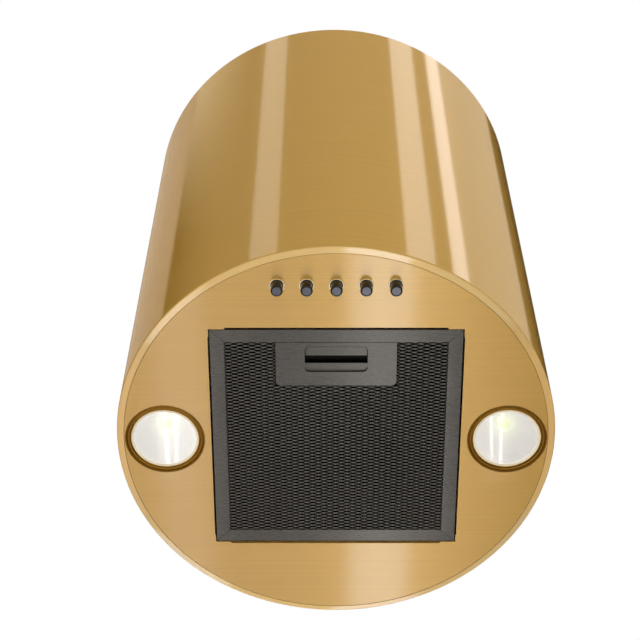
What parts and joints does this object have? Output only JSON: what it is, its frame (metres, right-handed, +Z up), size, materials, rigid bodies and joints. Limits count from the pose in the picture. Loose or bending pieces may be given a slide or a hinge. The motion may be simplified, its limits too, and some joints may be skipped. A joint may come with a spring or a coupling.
{
  "type": "island range hood",
  "caption": "Ceiling-hung cylindrical cooker hood: brushed brass-toned tube, flush round underside with a tilting mesh grease filter, lamps and push buttons.",
  "frame": {"origin": "centre of the ceiling ring's upper face, on the ceiling", "axes": "+Z up, so the hood hangs along -Z; -Y towards the cook, the side with the buttons; +X to the right of a cook who faces the hood"},
  "size_m": [0.39, 0.3898, 0.515],
  "materials": {
    "casing_brass": "stainless sheet, brass-toned coating, fine hairline brushing round the tube",
    "panel_brass": "stainless sheet, brass-toned coating, hairline brushing from side to side",
    "plated_steel": "galvanised sheet",
    "fastener_zinc": "zinc-plated",
    "screw_brass": "brass-toned coating",
    "housing_plastic": "moulded, lightly textured",
    "impeller_plastic": "moulded",
    "shaft_steel": "ground",
    "motor_steel": "zinc-plated pressing",
    "lamination": "stacked electrical steel, varnished",
    "winding": "enamelled copper wire",
    "sintered_bronze": "oiled, porous",
    "rubber_black": "soft",
    "collar_plastic": "moulded",
    "damper_plastic": "moulded",
    "switch_plastic": "moulded",
    "button_chrome": "dark nickel, polished sides, satin end face",
    "spring_steel": "drawn wire and strip",
    "collar_bright": "polished",
    "board_green": "lacquered circuit board",
    "lamp_brass": "turned and polished, brass-toned",
    "lens_glass": "clear",
    "reflector_white": "satin white",
    "led_board": "white lacquer, yellow phosphor",
    "heatsink": "black anodised",
    "device_white": "moulded",
    "capacitor": "moulded can",
    "filter_alu": "dark warm grey anodised"
  },
  "bodies": {
    "hood": {"blower_screws": "fastener_zinc", "bottom_panel": "panel_brass", "box_lid": "plated_steel", "button_bezels": "collar_bright", "button_spring_1": "spring_steel", "button_spring_2": "spring_steel", "button_spring_3": "spring_steel", "button_spring_4": "spring_steel", "button_spring_5": "spring_steel", "ceiling_ring": "plated_steel", "chassis_box": "plated_steel", "control_board": "board_green", "damper_pin": "shaft_steel", "fan_housing_left": "housing_plastic", "fan_housing_right": "housing_plastic", "filter_catches": "spring_steel", "hanger_rails": "plated_steel", "lamp_body_left": "lamp_brass", "lamp_body_right": "lamp_brass", "lamp_clips": "spring_steel", "lamp_heatsinks": "heatsink", "lamp_leds": "led_board", "lamp_lens_left": "lens_glass", "lamp_lens_right": "lens_glass", "lamp_reflector_left": "reflector_white", "lamp_reflector_right": "reflector_white", "led_driver": "device_white", "lid_screws": "fastener_zinc", "motor_bracket": "plated_steel", "motor_can": "motor_steel", "motor_capacitor": "capacitor", "motor_end_cap": "motor_steel", "motor_pads": "rubber_black", "outer_tube": "casing_brass", "outlet_collar": "collar_plastic", "panel_nuts": "fastener_zinc", "rail_bolts": "fastener_zinc", "shaft_bushes": "sintered_bronze", "stator_core": "lamination", "stator_windings": "winding", "switch_block": "switch_plastic", "terminal_box": "device_white", "tube_screws": "screw_brass"},
    "fan_rotor": {"impeller": "impeller_plastic", "motor_shaft": "shaft_steel", "motor_rotor": "lamination"},
    "flap_left": {"damper_flap_left": "damper_plastic"},
    "flap_right": {"damper_flap_right": "damper_plastic"},
    "filter": {"filter_frame": "filter_alu", "filter_mesh": "filter_alu", "filter_core": "filter_alu", "filter_handle": "filter_alu", "latch_springs": "spring_steel"},
    "latch": {"filter_latch": "filter_alu"},
    "button_1": {"push_button_1": "button_chrome"},
    "button_2": {"push_button_2": "button_chrome"},
    "button_3": {"push_button_3": "button_chrome"},
    "button_4": {"push_button_4": "button_chrome"},
    "button_5": {"push_button_5": "button_chrome"}
  },
  "joints": [
    {"name": "impeller_spin", "type": "hinge", "parent": "hood", "child": "fan_rotor", "pos_m": [0, 0.03, -0.325], "axis": [1, 0, 0], "continuous": true},
    {"name": "flap_left_lift", "type": "hinge", "parent": "hood", "child": "flap_left", "pos_m": [0, 0, -0.16], "axis": [0, 1, 0], "range_deg": [0, 75]},
    {"name": "flap_right_lift", "type": "hinge", "parent": "hood", "child": "flap_right", "pos_m": [0, 0, -0.16], "axis": [0, -1, 0], "range_deg": [0, 75]},
    {"name": "filter_tilt", "type": "hinge", "parent": "hood", "child": "filter", "pos_m": [0, 0.1117, -0.5046], "axis": [1, 0, 0], "range_deg": [0, 40], "deforming": ["filter_catches"]},
    {"name": "filter_latch_slide", "type": "slide", "parent": "filter", "child": "latch", "axis": [0, 1, 0], "range_m": [0, 0.006], "stiffness_N_per_m": 300, "springref_m": -0.004, "deforming": ["latch_springs"]},
    {"name": "button_1_press", "type": "slide", "parent": "hood", "child": "button_1", "axis": [0, 0, 1], "range_m": [0, 0.004], "stiffness_N_per_m": 250, "springref_m": -0.002, "deforming": ["button_spring_1"]},
    {"name": "button_2_press", "type": "slide", "parent": "hood", "child": "button_2", "axis": [0, 0, 1], "range_m": [0, 0.004], "stiffness_N_per_m": 250, "springref_m": -0.002, "deforming": ["button_spring_2"]},
    {"name": "button_3_press", "type": "slide", "parent": "hood", "child": "button_3", "axis": [0, 0, 1], "range_m": [0, 0.004], "stiffness_N_per_m": 250, "springref_m": -0.002, "deforming": ["button_spring_3"]},
    {"name": "button_4_press", "type": "slide", "parent": "hood", "child": "button_4", "axis": [0, 0, 1], "range_m": [0, 0.004], "stiffness_N_per_m": 250, "springref_m": -0.002, "deforming": ["button_spring_4"]},
    {"name": "button_5_press", "type": "slide", "parent": "hood", "child": "button_5", "axis": [0, 0, 1], "range_m": [0, 0.004], "stiffness_N_per_m": 250, "springref_m": -0.002, "deforming": ["button_spring_5"]}
  ]
}
